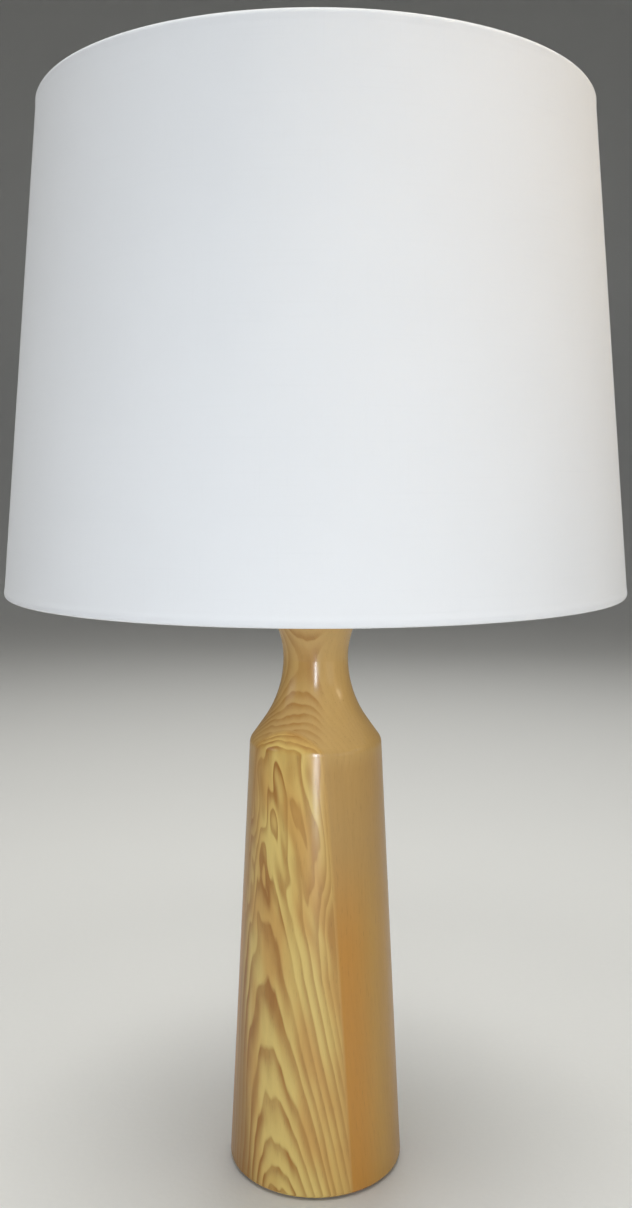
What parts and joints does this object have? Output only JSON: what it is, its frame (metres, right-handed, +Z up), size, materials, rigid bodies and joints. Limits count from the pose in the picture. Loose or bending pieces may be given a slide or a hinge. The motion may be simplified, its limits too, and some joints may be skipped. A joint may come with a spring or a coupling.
{
  "type": "table lamp",
  "caption": "Table lamp with a turned, tapered ash column and waisted neck, and a tapered hardback drum shade hung from a harp over a socket with a turn-knob switch.",
  "frame": {"origin": "centre of the felt pad's underside, on the table", "axes": "+Z up the lamp's axis; the cord inlet faces +Y and the switch knob faces -Y"},
  "size_m": [0.4059, 0.406, 0.7207],
  "materials": {
    "ash": "satin lacquered ash, turned",
    "felt": "dark felt",
    "black_nylon": "moulded nylon",
    "zinc_steel": "zinc-plated steel",
    "brass": "satin brass",
    "harp_metal": "brass-plated steel",
    "socket_brass": "pressed brass",
    "fibre": "vulcanised fibre",
    "phenolic": "black phenolic moulding",
    "screw_shell": "drawn aluminium",
    "bulb_glass": "inside-frosted glass",
    "black_glass": "black glass button",
    "solder": "tinned tip",
    "clear_glass": "clear glass",
    "tungsten": "tungsten and nickel wire",
    "spider_metal": "brass-plated steel",
    "ring_wire": "white-coated wire",
    "styrene": "white styrene sheet",
    "shade_cloth": "fine white plain-weave cloth"
  },
  "bodies": {
    "base": {"column": "ash", "felt_pad": "felt", "cord_bushing": "black_nylon", "threaded_pipe": "zinc_steel", "base_washer": "zinc_steel", "base_lock_washer": "zinc_steel", "base_nut": "zinc_steel", "vase_cap": "brass", "neck_spacer": "brass", "harp_saddle": "harp_metal", "saddle_lock_washer": "zinc_steel", "socket_cap": "socket_brass", "socket_cap_screw": "zinc_steel", "cap_insulator": "fibre", "socket_shell": "socket_brass", "shell_insulator": "fibre", "socket_body": "phenolic", "socket_screw_shell": "screw_shell", "centre_contact": "brass", "terminal_screws": "brass"},
    "switch": {"switch_spindle": "brass", "switch_knob": "phenolic"},
    "bulb": {"bulb_glass": "bulb_glass", "bulb_base": "screw_shell", "bulb_insulator": "black_glass", "bulb_tip": "solder", "bulb_stem": "clear_glass", "filament": "tungsten"},
    "harp": {"harp_wire": "harp_metal"},
    "sleeve_left": {"harp_sleeve_left": "harp_metal"},
    "sleeve_right": {"harp_sleeve_right": "harp_metal"},
    "stud": {"harp_stud": "harp_metal"},
    "shade": {"spider_hub": "spider_metal", "spider_arms": "spider_metal", "top_ring": "ring_wire", "bottom_ring": "ring_wire", "shade_liner": "styrene", "shade_fabric": "shade_cloth"},
    "finial": {"finial": "brass"}
  },
  "joints": [
    {"name": "switch_turn", "type": "hinge", "parent": "base", "child": "switch", "pos_m": [0, -0.02, 0.4422], "axis": [0, -1, 0], "continuous": true},
    {"name": "bulb_unscrew", "type": "hinge", "parent": "base", "child": "bulb", "pos_m": [0, 0, 0.46], "axis": [0, 0, 1], "range_deg": [0, 1800]},
    {"name": "harp_lift", "type": "slide", "parent": "base", "child": "harp", "axis": [0, 0, 1], "range_m": [0, 0.16]},
    {"name": "sleeve_left_slide", "type": "slide", "parent": "harp", "child": "sleeve_left", "axis": [0, 0, 1], "range_m": [0, 0.014]},
    {"name": "sleeve_right_slide", "type": "slide", "parent": "harp", "child": "sleeve_right", "axis": [0, 0, 1], "range_m": [0, 0.014]},
    {"name": "shade_turn", "type": "hinge", "parent": "harp", "child": "stud", "pos_m": [0, 0, 0.6936], "axis": [0, 0, 1], "continuous": true},
    {"name": "shade_lift", "type": "slide", "parent": "stud", "child": "shade", "axis": [0, 0, 1], "range_m": [0, 0.31]},
    {"name": "finial_unscrew", "type": "hinge", "parent": "shade", "child": "finial", "pos_m": [0, 0, 0.7], "axis": [0, 0, 1], "range_deg": [0, 3240]}
  ]
}
